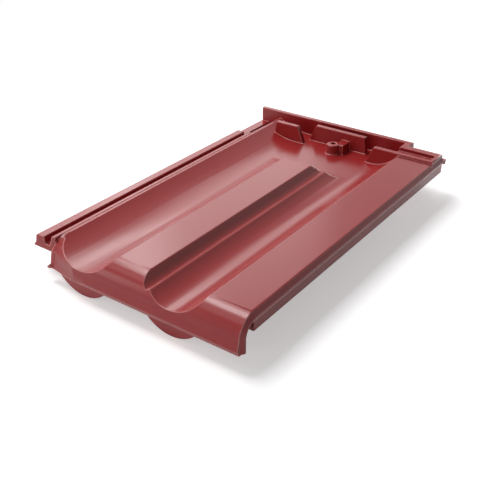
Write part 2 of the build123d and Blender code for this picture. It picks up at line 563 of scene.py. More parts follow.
@dataclass(frozen=True)
class ClayFinish:
    """Finish of one surface of the tile."""

    name: str
    dark: Colour
    light: Colour
    roughness: float
    roughness_spread: float
    specular: float
    grain: float
    bump_depth: float
    bump_strength: float
    edge_radius: float
    edge_samples: int
    edge_highlight_paint: Colour
    edge_highlight_width: float
    edge_highlight_share: float
    open_match: float
    edge_match: float

    def material(self) -> bpy.types.Material:
        """Builds the material of this finish once.

        Returns:
            Material with procedural colour, gloss and fine relief.
        """
        if self.name in bpy.data.materials:
            return bpy.data.materials[self.name]
        material = bpy.data.materials.new(self.name)
        material.use_nodes = True
        tree = material.node_tree
        shader = tree.nodes["Principled BSDF"]
        shader.inputs["Specular IOR Level"].default_value = self.specular
        place = node_at(tree, "ShaderNodeTexCoord", -1000, 0)
        mottle = node_at(tree, "ShaderNodeGroup", -700, 0,
                         {"Dark": self.dark, "Light": self.light, "Grain": self.grain},
                         node_tree=KilnMottle().group())
        low, high = self.roughness - self.roughness_spread, self.roughness + self.roughness_spread
        gloss = node_at(tree, "ShaderNodeMapRange", -400, -150, {"To Min": low, "To Max": high})
        bump = node_at(tree, "ShaderNodeBump", -400, -400,
                       {"Strength": self.bump_strength, "Distance": self.bump_depth})
        edge = node_at(tree, "ShaderNodeBevel", -700, -500, {"Radius": self.edge_radius},
                       samples=self.edge_samples)
        # Painted highlight: a light colour mixed into the base colour along edges and corners, where the
        # rounded rims catch the lamps.
        highlight_mix = node_at(tree, "ShaderNodeMix", -250, 200, {7: self.edge_highlight_paint}, data_type="RGBA")
        wire(tree, (place, "Object", mottle, "Vector"), (mottle, "Colour", highlight_mix, 6),
             (self.painted_edge_highlights(tree), "Result", highlight_mix, 0), (highlight_mix, 2, shader, "Base Color"),
             (mottle, "Cloud", gloss, "Value"), (gloss, "Result", shader, "Roughness"),
             (mottle, "Height", bump, "Height"), (edge, "Normal", bump, "Normal"),
             (bump, "Normal", shader, "Normal"))
        return material

    def painted_edge_highlights(self, tree: bpy.types.NodeTree) -> bpy.types.Node:
        """Paints a light highlight colour onto the convex and concave edges and corners, in place of the
        gloss highlights there.

        Args:
            tree: Node tree of the material.

        Returns:
            Node whose result is 0 on open surfaces and rises at edges to the share of the painted highlight
            colour.
        """
        rounded = node_at(tree, "ShaderNodeBevel", -1000, 500, {"Radius": self.edge_highlight_width},
                          samples=self.edge_samples)
        plain = node_at(tree, "ShaderNodeNewGeometry", -1000, 300)
        match = node_at(tree, "ShaderNodeVectorMath", -750, 400, operation="DOT_PRODUCT")
        share = node_at(tree, "ShaderNodeMapRange", -500, 400, {
            "From Min": self.open_match, "From Max": self.edge_match, "To Max": self.edge_highlight_share})
        wire(tree, (rounded, "Normal", match, 0), (plain, "Normal", match, 1),
             (match, "Value", share, "Value"))
        return share


ENGOBE = ClayFinish(
    name="wine_red_engobe",
    dark=(0.27, 0.015, 0.016, 1.0),
    light=(0.32, 0.021, 0.022, 1.0),
    roughness=0.23,
    roughness_spread=0.02,
    specular=0.35,
    grain=0.1,
    bump_depth=0.00004,
    bump_strength=0.25,
    edge_radius=0.0015,
    edge_samples=8,
    # Light colour painted on edges and corners as a highlight.
    edge_highlight_paint=(0.74, 0.28, 0.265, 1.0),
    edge_highlight_width=0.0018,
    edge_highlight_share=0.85,
    open_match=0.99,
    edge_match=0.86,
)


@dataclass(frozen=True)
class Section:
    """Section across the tile: side lock, two troughs, two plateaus and the cove between them."""

    length: float = 400.0
    rest_depth: float = 47.0
    central_plateau_width: float = 36.5
    lock_trough_width: float = 76.0
    cover_trough_width: float = 65.0
    cover_plateau_width: float = 41.0
    lock_crest_width: float = 7.5
    lock_groove_width: float = 10.8
    lock_rib_width: float = 10.5
    lock_trough_lean: float = 0.45
    trough_depth: float = 17.5
    lock_crest_drop: float = 6.5
    lock_rib_drop: float = 10.0
    lock_groove_drop: float = 17.0
    lock_flange_depth: float = 22.5
    wall: float = 11.0
    flange_thickness: float = 11.0
    lock_wall_draft: float = 1.4
    lock_burr: float = 3.2
    burr_tip: float = 1.2
    crest_bead_width: float = 2.2
    crest_groove_width: float = 1.6
    crest_groove_depth: float = 0.9
    cove_width: float = 12.4
    cove_depth: float = 9.8
    cove_wall_run: float = 4.0
    cove_wall_depth: float = 6.9
    cove_floor_inset: float = 3.0
    cove_ridge_drop: float = 8.2
    ridge_band: float = 2.2
    ridge_fall: float = 0.5
    edge_radius: float = 1.0
    plateau_edge_radius: float = 3.0
    flange_edge_radius: float = 1.5
    groove_radius: float = 1.2
    lock_rib_radius: float = 2.5
    ridge_radius: float = 0.6

    @property
    def plateau_half(self) -> float:
        """Half the width of the central plateau."""
        return self.central_plateau_width / 2

    @property
    def crest_inner(self) -> float:
        """Side of the lock crest towards the trough."""
        return -self.plateau_half - self.lock_trough_width

    @property
    def crest_outer(self) -> float:
        """Side of the lock crest towards the groove."""
        return self.crest_inner - self.lock_crest_width

    @property
    def lock_rib_inner(self) -> float:
        """Side of the lock rib towards the groove."""
        return self.crest_outer - self.lock_groove_width

    @property
    def lock_edge(self) -> float:
        """Outer side of the lock rib."""
        return self.lock_rib_inner - self.lock_rib_width

    @property
    def burr_end(self) -> float:
        """Tip of the parting ridge outside the lock rib."""
        return self.lock_edge - self.lock_burr

    @property
    def cover_plateau_start(self) -> float:
        """Side of the cover plateau towards the trough."""
        return self.plateau_half + self.cover_trough_width

    @property
    def cover_edge(self) -> float:
        """Edge of the cover flange."""
        return self.cover_plateau_start + self.cover_plateau_width

    @property
    def lock_trough_middle(self) -> float:
        """Deepest line of the trough on the lock side."""
        return -self.plateau_half - self.lock_trough_width * self.lock_trough_lean

    @property
    def cover_trough_middle(self) -> float:
        """Deepest line of the trough on the cover side."""
        return self.cover_plateau_start - self.cover_trough_width / 2

    @property
    def root(self) -> float:
        """Level inside the wall at which ribs, lugs and boss are rooted."""
        return -self.trough_depth - self.wall / 2

    @property
    def groove_floor(self) -> tuple[Flat, Flat]:
        """Two corners of the side groove's floor."""
        start, end = self.lock_rib_inner + self.lock_wall_draft, self.crest_outer - 2 * self.lock_wall_draft
        return (start, -self.lock_groove_drop), (end, -self.lock_groove_drop)

    def top(self) -> Outline:
        """Draws the upper surface from the lock edge to the cover edge.

        Returns:
            The open line, ready to be closed round the underside.
        """
        groove_lock_side, groove_crest_side = self.groove_floor
        crest = -self.lock_crest_drop
        bead = self.crest_inner - self.crest_bead_width
        ridge = self.plateau_half + self.cove_width
        ridge_start = ridge - self.ridge_band
        line = Outline()
        line.to((self.burr_end, -self.lock_flange_depth))
        line.to((self.burr_end, -self.lock_flange_depth + self.burr_tip))
        burr_root = -self.lock_flange_depth + self.lock_burr + self.burr_tip
        line.to((self.lock_edge - self.lock_wall_draft / 2, burr_root))
        line.to((self.lock_edge, -self.lock_rib_drop), radius=self.lock_rib_radius)
        line.to((self.lock_rib_inner, -self.lock_rib_drop), radius=self.edge_radius)
        line.to(groove_lock_side, groove_crest_side, radius=self.groove_radius)
        line.to((self.crest_outer, crest), radius=self.edge_radius)
        line.to((bead - self.crest_groove_width, crest))
        line.to((bead - self.crest_groove_width / 2, crest - self.crest_groove_depth), (bead, crest))
        line.to((self.crest_inner, crest), radius=self.edge_radius)
        line.arrive((self.lock_trough_middle, -self.trough_depth), (-1, 0))
        line.leave((-self.plateau_half, 0), (1, 0), radius=self.plateau_edge_radius)
        line.to((self.plateau_half, 0), radius=self.edge_radius)
        line.to((self.plateau_half + self.cove_wall_run, -self.cove_wall_depth), radius=self.groove_radius)
        line.to((ridge_start - self.cove_floor_inset, -self.cove_depth), radius=self.groove_radius)
        line.to((ridge_start, -self.cove_ridge_drop), radius=self.ridge_radius)
        line.to((ridge, -self.cove_ridge_drop - self.ridge_fall), radius=self.ridge_radius)
        line.arrive((self.cover_trough_middle, -self.trough_depth), (-1, 0))
        line.leave((self.cover_plateau_start, 0), (1, 0), radius=self.edge_radius)
        return line.to((self.cover_edge, 0), radius=self.flange_edge_radius)

    def walled(self) -> Outline:
        """Closes the upper surface with the underside of the even wall.

        Returns:
            Outline of the tile's body.
        """
        low = -self.trough_depth - self.wall
        line = self.top()
        line.to((self.cover_edge, -self.flange_thickness))
        line.to((self.cover_plateau_start + self.wall / 2, -self.wall))
        line.arrive((self.cover_trough_middle, low), (1, 0))
        line.leave((self.plateau_half - self.wall / 2, -self.wall), (-1, 0))
        line.to((-self.plateau_half + self.wall / 2, -self.wall))
        line.arrive((self.lock_trough_middle, low), (1, 0))
        return line.leave((self.crest_inner + self.wall, -self.lock_flange_depth), (-1, 0))

    def filled(self, depth: float, corner: float) -> Outline:
        """Closes the upper surface with a flat bottom at a depth, which ends at a corner on the lock side."""
        return self.top().to((self.cover_edge, -depth), (corner, -depth), (corner, -self.lock_flange_depth))

    def body(self) -> Clay:
        """Presses the even wall along the whole length."""
        return Clay.pressed(self.walled(), Axis.ALONG, (0.0, self.length))


@dataclass(frozen=True)
class Foot:
    """Foot of the tile: rounded nose, apron, swept-back lock corner and half-round feet."""

    section: Section
    apron_depth: float = 33.0
    apron_thickness: float = 9.5
    nose_radius: float = 20.0
    lip_height: float = 5.1
    lip_overhang: float = 2.2
    lip_radius: float = 1.8
    apron_burr: float = 2.6
    burr_roundness: float = 0.4
    front_margin: float = 1.0
    lip_fade_start: float = 50.0
    corner_start: float = 35.0
    corner_end: float = 3.0
    corner_foot_setback: float = 4.6
    corner_lip_setback: float = 6.0
    corner_middle_setback: float = 8.4
    corner_burr_setback: float = 3.4
    dip_air: float = 0.15
    dip_pieces: int = 20
    sweep_steps: int = 14
    rim_setback: float = 33.0
    lock_front_setback: float = 13.5
    lock_front_slope: float = 0.12
    foot_setback: float = 3.0
    foot_length: float = 16.0
    foot_radius: float = 37.0
    foot_edge_radius: float = 1.2
    foot_pieces: int = 28

    @property
    def corner(self) -> float:
        """Lock-side end of the apron."""
        return self.section.crest_inner - self.section.crest_bead_width

    def nose_side(self) -> Outline:
        """Draws the side view of the apron: an even plate round the nose down to the lip.

        Returns:
            The outline.
        """
        inner_radius = self.nose_radius - self.apron_thickness
        line = Outline().to((self.nose_radius, 0))
        line.leave((0, -self.nose_radius), (-1, 0))
        line.to((-self.lip_overhang, -self.apron_depth + self.lip_height), radius=self.lip_radius)
        low = -self.apron_depth
        line.to((0, low), (self.apron_thickness, low), radius=self.section.edge_radius)
        line.to((self.apron_thickness, -self.apron_thickness - inner_radius))
        return line.leave((self.nose_radius, -self.apron_thickness), (0, 1))

    def apron(self) -> Clay:
        """Makes the front wall, whose upper edge follows the troughs.

        Returns:
            The apron.
        """
        section = self.section
        filled = section.filled(self.apron_depth, self.corner)
        front = Clay.pressed(filled, Axis.ALONG, (-self.lip_overhang - self.front_margin, self.nose_radius))
        return front & Clay.pressed(self.nose_side(), Axis.ACROSS, (self.corner, section.cover_edge))

    def ahead_of_nose(self) -> Clay:
        """Makes what lies in front of the rounded nose, above the lip.

        Returns:
            The lump to cut away.
        """
        section = self.section
        line = Outline().to((self.nose_radius, CLEAR), (self.nose_radius, 0))
        line.leave((0, -self.nose_radius), (-1, 0))
        line.to((0, -CLEAR), (-CLEAR, -CLEAR), (-CLEAR, CLEAR))
        return Clay.pressed(line, Axis.ACROSS, (section.lock_edge - CLEAR, section.cover_edge + CLEAR))

    def rim_dip(self) -> Clay:
        """Makes what is cut away where the foot turns back round the lock-side end of the trough.

        Returns:
            The lump to cut away.
        """
        section = self.section
        air, inner = self.dip_air, section.crest_inner
        lip, low = -self.apron_depth + self.lip_height, -self.apron_depth
        past_lip = -self.lip_overhang - air
        nose = (self.nose_radius, air), (-air, -self.nose_radius)
        rim = self.rim_setback, -section.lock_crest_drop
        dip = rim, (self.corner_middle_setback, -section.trough_depth)
        ends = (self.corner_lip_setback, lip), (self.corner_foot_setback, low)
        first = self.dip_loop(inner + self.lip_fade_start, *nose, (past_lip, lip), (past_lip, low))
        start = self.dip_loop(inner + self.corner_start, *nose, (-air, lip), (-air, low))
        last = self.dip_loop(inner + self.corner_end, *dip, *ends)
        sweep = []
        for i in range(self.sweep_steps + 1):
            share = i / self.sweep_steps
            sweep.append([tuple(Vector(a).lerp(Vector(b), share)) for a, b in zip(start, last)])
        far = inner - section.crest_bead_width - section.crest_groove_width / 2
        return Clay.lofted([first] + sweep + [self.dip_loop(far, *dip, *ends)])

    def dip_loop(self, x: float, top: Flat, turn: Flat, lip: Flat, low: Flat) -> list[Point]:
        """Draws one section of what is cut away round the lock-side end of the trough.

        Args:
            x: Its place across the tile.
            top: Where the bend starts on the upper surface.
            turn: Where the bend ends on the apron.
            lip: Place of the apron's lip there.
            low: Lower end of the apron there.

        Returns:
            Points of the section.
        """
        side = arc(top, turn, (-1, 0), self.dip_pieces)
        side += [lip, low, (low[0], -CLEAR), (-CLEAR, -CLEAR), (-CLEAR, CLEAR), (top[0], CLEAR)]
        return [(x, y, z) for y, z in side]

    def lock_front(self) -> Clay:
        """Makes what is cut away across the side lock, where the next tile's apron comes down in front.

        Returns:
            The lump to cut away.
        """
        section = self.section
        low = -section.lock_flange_depth - section.burr_tip
        high = self.lock_front_setback + self.lock_front_slope * (CLEAR - low)
        line = Outline().to((-CLEAR, low), (self.lock_front_setback, low), (high, CLEAR), (-CLEAR, CLEAR))
        reach = (section.lock_edge - CLEAR, self.corner + self.dip_air / 5)
        return Clay.pressed(line, Axis.ACROSS, reach)

    def corner_burr(self) -> Clay:
        """Makes the parting ridge at the apron's bottom corner on the lock side.

        Returns:
            The ridge.
        """
        thin = self.section.burr_tip
        inner = self.corner + thin
        tip = self.corner - self.apron_burr
        low = -self.apron_depth
        high = low + self.apron_burr + thin
        line = Outline().to((inner, low))
        line.to((tip, low), (tip, low + thin), radius=thin * self.burr_roundness)
        line.to((self.corner, high), (inner, high))
        return Clay.pressed(line, Axis.ALONG, (self.corner_burr_setback, self.apron_thickness))

    def half_round(self, middle: float) -> Clay:
        """Makes one short half-round foot under a trough.

        Args:
            middle: Middle of the trough.

        Returns:
            The foot.
        """
        section = self.section
        centre = -section.rest_depth + self.foot_radius
        half = math.acos((centre - section.root) / self.foot_radius)
        spots = []
        for i in range(self.foot_pieces + 1):
            turn = -half + 2 * half * i / self.foot_pieces
            across, down = self.foot_radius * math.sin(turn), self.foot_radius * math.cos(turn)
            spots.append((middle + across, centre - down))
        end = self.foot_setback + self.foot_length
        foot = Clay.pressed(Outline().to(*spots), Axis.ALONG, (self.foot_setback, end))

        def on_arc(a: Vector, b: Vector) -> bool:
            """Tells whether an edge follows the foot's round outline."""
            return abs(a.y - b.y) < HAIR and min(a.z, b.z) < section.root - HAIR

        return foot.beveled(on_arc, self.foot_edge_radius)


@dataclass(frozen=True)
class CoverFlange:
    """Hanging rib and parting ridges of the cover flange."""

    section: Section
    foot: Foot
    rib_width: float = 7.0
    rib_depth: float = 23.5
    rib_draft: float = 1.0
    edge_inset: float = 2.0
    rib_start: float = 24.0
    rib_setback: float = 5.0
    burr: float = 2.6
    end_setback: float = 9.0
    bend_pieces: int = 12

    @property
    def end(self) -> float:
        """Head end of the cover flange."""
        return self.section.length - self.end_setback

    def hanging_rib(self) -> Clay:
        """Makes the rib that runs in the next tile's side groove.

        Returns:
            The rib.
        """
        outer = self.section.cover_edge - self.edge_inset
        inner = outer - self.rib_width
        top = -self.section.flange_thickness / 2
        line = Outline().to((outer, top))
        line.to((outer, -self.rib_depth), (inner, -self.rib_depth), radius=self.section.edge_radius)
        line.to((inner - self.rib_draft, top))
        return Clay.pressed(line, Axis.ALONG, (self.rib_start, self.section.length - self.rib_setback))

    def ridge_spots(self) -> list[Flat]:
        """Lists the corners of the parting ridge's section, as distance out and height.

        Returns:
            The corners, in order.
        """
        half = self.section.flange_thickness / 2 - self.section.edge_radius
        tip = self.section.burr_tip / 2
        root = -self.section.edge_radius
        return [(root, -half), (0, -half), (self.burr, -tip), (self.burr, tip), (0, half), (root, half)]

    def head_ridge(self, start: float) -> Clay:
        """Makes the parting ridge on the head end of the flange.

        Args:
            start: Where it starts across the tile.

        Returns:
            The ridge.
        """
        middle = -self.section.flange_thickness / 2
        spots = [(self.end + out, middle + up) for out, up in self.ridge_spots()]
        return Clay.pressed(Outline().to(*spots), Axis.ACROSS, (start, self.section.cover_edge + self.burr))

    def side_ridge(self) -> Clay:
        """Makes the parting ridge down the flange's edge, round the nose and down to the lip.

        Returns:
            The ridge.
        """
        middle = self.section.flange_thickness / 2
        turn = self.foot.nose_radius - middle
        low = -self.foot.apron_depth + self.section.edge_radius
        path = [(self.end, -middle, 0.0)]
        for i in range(self.bend_pieces + 1):
            angle = math.radians(90.0 * i / self.bend_pieces)
            y = self.foot.nose_radius - turn * math.sin(angle)
            path.append((y, -middle - turn + turn * math.cos(angle), angle))
        path.append((middle, low, math.radians(90.0)))
        edge = self.section.cover_edge
        loops = []
        for y, z, angle in path:
            ahead, up = math.sin(angle), math.cos(angle)
            loops.append([(edge + out, y - rise * ahead, z + rise * up) for out, rise in self.ridge_spots()])
        return Clay.lofted(loops)


@dataclass(frozen=True)
class HeadLock:
    """Head of the tile: basin, upright ribs, tall wall, raised frame and nail boss."""

    section: Section
    flange_end: float
    basin_setback: float = 119.3
    basin_slope_run: float = 15.5
    basin_slope_drop: float = 12.9
    basin_toe: float = 14.0
    rib_height: float = 2.6
    wall_thickness: float = 5.6
    rib_thickness: float = 5.5
    rib_draft: float = 1.0
    rib_edge_radius: float = 1.2
    rib_slope: float = 0.45
    rib_steep_slope: float = 0.12
    side_rib_setback: float = 36.5
    side_rib_start: float = -82.0
    side_rib_end: float = -51.5
    middle_rib_setback: float = 20.5
    middle_rib_left: float = -34.5
    middle_rib_right: float = 31.5
    cover_rib_setback: float = 40.0
    cover_rib_left: float = 52.5
    wall_lean: float = 0.8
    low_rib_setback: float = 62.0
    low_rib_drop: float = 14.5
    crest_step_setback: float = 67.0
    crest_step_drop: float = 3.5
    crest_step_width: float = 4.2
    frame_setback: float = 43.0
    frame_back_setback: float = 13.0
    frame_rim: float = 5.0
    frame_back_rim: float = 8.0
    frame_basin_depth: float = 4.8
    frame_groove_width: float = 2.6
    frame_groove_depth: float = 1.8
    frame_groove_inset: float = 2.0
    jog_left: float = 76.0
    jog_width: float = 8.0
    boss_setback: float = 38.0
    boss_radius: float = 8.0
    boss_foot_radius: float = 8.6
    boss_top_drop: float = 6.2
    boss_cove: float = 1.4
    nail_radius: float = 3.2
    web_width: float = 11.5
    web_offset: float = 6.8
    web_drop: float = 0.6
    cove_overlap: float = 0.05
    cove_pieces: int = 4

    @property
    def wall_face(self) -> float:
        """Front of the tall head wall."""
        return self.section.length - self.wall_thickness

    @property
    def frame_start(self) -> float:
        """Edge of the groove in front of the frame."""
        return self.section.length - self.frame_setback

    @property
    def frame_end(self) -> float:
        """Back of the frame."""
        return self.section.length - self.frame_back_setback

    @property
    def rib_root(self) -> float:
        """Level of the ribs' lower ends."""
        return -self.section.trough_depth - self.section.wall

    @property
    def jog_right(self) -> float:
        """Cover-side end of the neck between frame and wall."""
        return self.jog_left + self.jog_width

    @property
    def boss_place(self) -> float:
        """Place of the nail boss along the tile."""
        return self.section.length - self.boss_setback

    def basin(self) -> Clay:
        """Makes the hollow where the central plateau slopes down to the level of the troughs.

        Returns:
            The lump to cut away.
        """
        section = self.section
        start = section.length - self.basin_setback
        toe = (start + self.basin_slope_run, -self.basin_slope_drop)
        floor = (start + self.basin_slope_run + self.basin_toe, -section.trough_depth)
        line = Outline().to((start, CLEAR), (start, 0))
        line.to(toe, radius=self.basin_toe / 2)
        line.arrive(floor, (-1, 0))
        line.to((self.wall_face, -section.trough_depth), (self.wall_face, CLEAR))
        return Clay.pressed(line, Axis.ACROSS, (section.lock_trough_middle, section.cover_trough_middle))

    def bed(self) -> Clay:
        """Makes the thickness under the basin, where the hollow below the central plateau ends.

        Returns:
            The lump to add.
        """
        section = self.section
        start = section.length - self.basin_setback
        low = start + self.basin_slope_run
        half = section.wall / 2
        line = Outline().to((start - section.wall, 0), (start - half, -section.wall))
        line.to((low - half, -self.basin_slope_drop - section.wall))
        line.to((low + self.basin_toe - half, -section.trough_depth - section.wall))
        line.to((section.length, -section.trough_depth - section.wall), (section.length, 0))
        bed = Clay.pressed(line, Axis.ACROSS, (section.lock_trough_middle, section.cover_trough_middle))
        filled = section.filled(CLEAR, section.crest_inner)
        return bed & Clay.pressed(filled, Axis.ALONG, (start - section.wall, section.length))

    def above_wall_middle(self) -> Clay:
        """Makes everything above the middle of the wall, where the ribs are rooted.

        Returns:
            The lump that trims them.
        """
        section = self.section
        middle = -(section.lock_flange_depth + section.lock_groove_drop) / 2
        flange = -section.flange_thickness / 2
        line = Outline().to((section.lock_edge - CLEAR, CLEAR), (section.lock_edge - CLEAR, middle))
        line.to((section.crest_inner + section.wall / 2, middle))
        line.arrive((section.lock_trough_middle, section.root), (-1, 0))
        line.to((section.cover_trough_middle, section.root))
        line.leave((section.cover_plateau_start + section.wall / 4, flange), (1, 0))
        line.to((section.cover_edge, flange), (section.cover_edge, CLEAR))
        return Clay.pressed(line, Axis.ALONG, (self.frame_start, section.length + CLEAR))

    def rib(self, ends: Span, faces: Span, slopes: Span, drafts: Span) -> Clay:
        """Makes an upright rib with sloped ends, drafted faces and rounded edges.

        Args:
            ends: Its ends across the tile, at the top.
            faces: Its front and back, at the top.
            slopes: Slope of each end.
            drafts: How much wider its foot is in front and behind.

        Returns:
            The rib, trimmed to the wall that it stands on.
        """
        height = self.rib_height - self.rib_root
        low_x = (ends[0] - slopes[0] * height, ends[1] + slopes[1] * height)
        low_y = (faces[0] - drafts[0], faces[1] + drafts[1])
        loops = [plate(low_x, low_y, self.rib_root), plate(ends, faces, self.rib_height)]

        def above_foot(a: Vector, b: Vector) -> bool:
            """Tells whether an edge isn't one of the rib's foot."""
            return max(a.z, b.z) > self.rib_height - HAIR

        return Clay.lofted(loops).beveled(above_foot, self.rib_edge_radius) & self.above_wall_middle()

    def standing_rib(self, ends: Span, setback: float, slopes: Span) -> Clay:
        """Makes a rib before the tall wall from its ends, its distance to the head and its end slopes."""
        face = self.section.length - setback
        return self.rib(ends, (face, face + self.rib_thickness), slopes, (self.rib_draft, self.rib_draft))

    def standing_ribs(self) -> list[Clay]:
        """Makes the ribs in the lock-side trough, behind the nail boss and in the cover-side trough.

        Returns:
            The ribs, the last of which ends in the raised frame.
        """
        side = (self.side_rib_start, self.side_rib_end)
        middle = (self.middle_rib_left, self.middle_rib_right)
        cover = (self.cover_rib_left, self.jog_left + self.rib_edge_radius * 2)
        return [self.standing_rib(side, self.side_rib_setback, (self.rib_steep_slope, self.rib_slope)),
                self.standing_rib(middle, self.middle_rib_setback, (self.rib_slope, self.rib_steep_slope)),
                self.standing_rib(cover, self.cover_rib_setback, (self.rib_slope, 0))]

    def wall(self) -> Clay:
        """Makes the tall rib right across the head."""
        lean = self.wall_lean / (self.rib_height - self.rib_root)
        return self.rib((self.section.lock_edge - self.wall_lean, self.jog_right),
                        (self.wall_face, self.section.length), (-lean, 0), (self.rib_draft, 0))

    def frame_hollow(self) -> Clay:
        """Makes the shallow hollow inside the frame, open towards the channel.

        Returns:
            The lump to cut away.
        """
        face = self.section.length - self.cover_rib_setback
        return Clay.block((self.jog_left - self.frame_rim, self.section.cover_edge - self.frame_rim),
                          (face + self.rib_thickness, self.frame_end - self.frame_back_rim),
                          (self.rib_height - self.frame_basin_depth, CLEAR))

    def frame(self) -> Clay:
        """Makes the raised frame, with the neck that joins it to the head wall.

        Returns:
            The frame.
        """
        section = self.section
        top = self.rib_height
        face = section.length - self.cover_rib_setback
        front = face - self.rib_draft * (top + section.flange_thickness) / (top - self.rib_root)
        across = (self.jog_left, section.cover_edge)
        loops = [plate(across, (front, self.frame_end), -section.flange_thickness),
                 plate(across, (face, self.frame_end), top)]
        neck = Clay.block((self.jog_left, self.jog_right), (self.frame_end - self.frame_rim, section.length),
                          (-section.flange_thickness, top))
        ring = Clay.lofted(loops) + neck - self.frame_hollow()

        def at_top(a: Vector, b: Vector) -> bool:
            """Tells whether an edge runs round the frame's top."""
            return min(a.z, b.z) > top - HAIR

        return ring.beveled(at_top, self.rib_edge_radius)

    def groove(self) -> Clay:
        """Makes the groove across the cover plateau in front of the frame, with a rounded edge.

        Returns:
            The lump to cut away.
        """
        section = self.section
        depth = self.frame_groove_depth
        end = self.frame_start + self.frame_groove_width
        line = Outline().to((self.frame_start - section.wall, CLEAR), (self.frame_start - section.wall, 0))
        line.to((self.frame_start, 0), radius=section.edge_radius)
        line.to((self.frame_start, -depth), (end, -depth), radius=section.burr_tip / 2)
        line.to((end, CLEAR))
        reach = (section.cover_plateau_start + self.frame_groove_inset, section.cover_edge + CLEAR)
        return Clay.pressed(line, Axis.ACROSS, reach)

    def past_flange(self) -> Clay:
        """Makes what is cut away beyond the head end of the cover flange."""
        across = (self.jog_right, self.section.cover_edge + CLEAR)
        return Clay.block(across, (self.flange_end, self.section.length + CLEAR), (-CLEAR, CLEAR))

    def notches(self, ridge: float) -> list[Clay]:
        """Makes what is cut away behind the frame, where the flange is lower and ends before the head wall.

        Args:
            ridge: How far the parting ridge stands out from the flange's end.

        Returns:
            The lumps to cut away.
        """
        section = self.section
        across = (self.jog_right, section.cover_edge + CLEAR)
        floor = -(section.flange_thickness - section.burr_tip) / 2
        far = section.length + CLEAR
        return [Clay.block(across, (self.frame_end, far), (floor, CLEAR)),
                Clay.block(across, (self.flange_end + ridge, far), (-CLEAR, CLEAR))]

    def lock_steps(self) -> list[Clay]:
        """Makes what is cut from the outer lock rib and from the outer half of the crest near the head.

        Returns:
            The lumps to cut away.
        """
        section = self.section
        groove_lock_side, groove_crest_side = section.groove_floor
        end = section.length - self.wall_thickness / 2
        low_rib = Clay.block((section.lock_edge - CLEAR, (section.lock_rib_inner + groove_lock_side[0]) / 2),
                             (section.length - self.low_rib_setback, end), (-self.low_rib_drop, CLEAR))
        crest = Clay.block((groove_crest_side[0], section.crest_outer + self.crest_step_width),
                           (section.length - self.crest_step_setback, end),
                           (-section.lock_crest_drop - self.crest_step_drop, CLEAR))
        return [low_rib, crest]

    def coved_side(self, foot_half: float, top_half: float, top: float) -> list[Flat]:
        """Draws half the side of a boss or web, from its middle over the rounded edge down to a cove.

        Args:
            foot_half: Half width where it stands.
            top_half: Half width at the top.
            top: Level of its top.

        Returns:
            Points from the foot's middle round to the top's middle.
        """
        root = self.section.root
        floor = -self.section.trough_depth - self.cove_overlap
        outer = foot_half + self.boss_cove
        line = Outline().to((0, root), (outer, root), (outer, floor))
        line.leave((foot_half, floor + self.boss_cove), (-1, 0), count=self.cove_pieces)
        line.to((top_half, top), radius=self.rib_edge_radius)
        return line.to((0, top)).softened()

    def boss(self) -> Clay:
        """Makes the nail boss."""
        side = self.coved_side(self.boss_foot_radius, self.boss_radius, -self.boss_top_drop)
        return Clay.turned(side, (0.0, self.boss_place))

    def web(self) -> Clay:
        """Makes the web that ties the boss to the middle rib.

        Returns:
            The web.
        """
        half = self.coved_side(self.web_width / 2, self.web_width / 2, -self.boss_top_drop - self.web_drop)
        right = half[1:-1]
        spots = [(self.web_offset + x, z) for x, z in right]
        spots += [(self.web_offset - x, z) for x, z in reversed(right)]
        end = self.section.length - self.middle_rib_setback + self.rib_thickness / 2
        return Clay.pressed(Outline().to(*spots), Axis.ALONG, (self.boss_place, end))

    def nail_hole(self) -> Clay:
        """Makes what is cut away for the nail."""
        spots = [(0.0, -CLEAR), (self.nail_radius, -CLEAR), (self.nail_radius, CLEAR), (0.0, CLEAR)]
        return Clay.turned(spots, (0.0, self.boss_place))


@dataclass(frozen=True)
class HangingLugs:
    """Lugs under the head that hook over the batten."""

    section: Section
    width: float = 34.0
    thickness: float = 14.0
    draft: float = 2.5
    setback: float = 50.0
    edge_radius: float = 1.2

    def lug(self, middle: float) -> Clay:
        """Makes one lug.

        Args:
            middle: Middle of the trough above it.

        Returns:
            The lug.
        """
        front = self.section.length - self.setback
        half = self.width / 2
        low_half = half - self.draft
        low_back = front + self.thickness - self.draft
        loops = [plate((middle - low_half, middle + low_half), (front, low_back), -self.section.rest_depth),
                 plate((middle - half, middle + half), (front, front + self.thickness), self.section.root)]

        def below_root(a: Vector, b: Vector) -> bool:
            """Tells whether an edge isn't at the lug's root."""
            return min(a.z, b.z) < self.section.root - HAIR

        return Clay.lofted(loops).beveled(below_root, self.edge_radius)


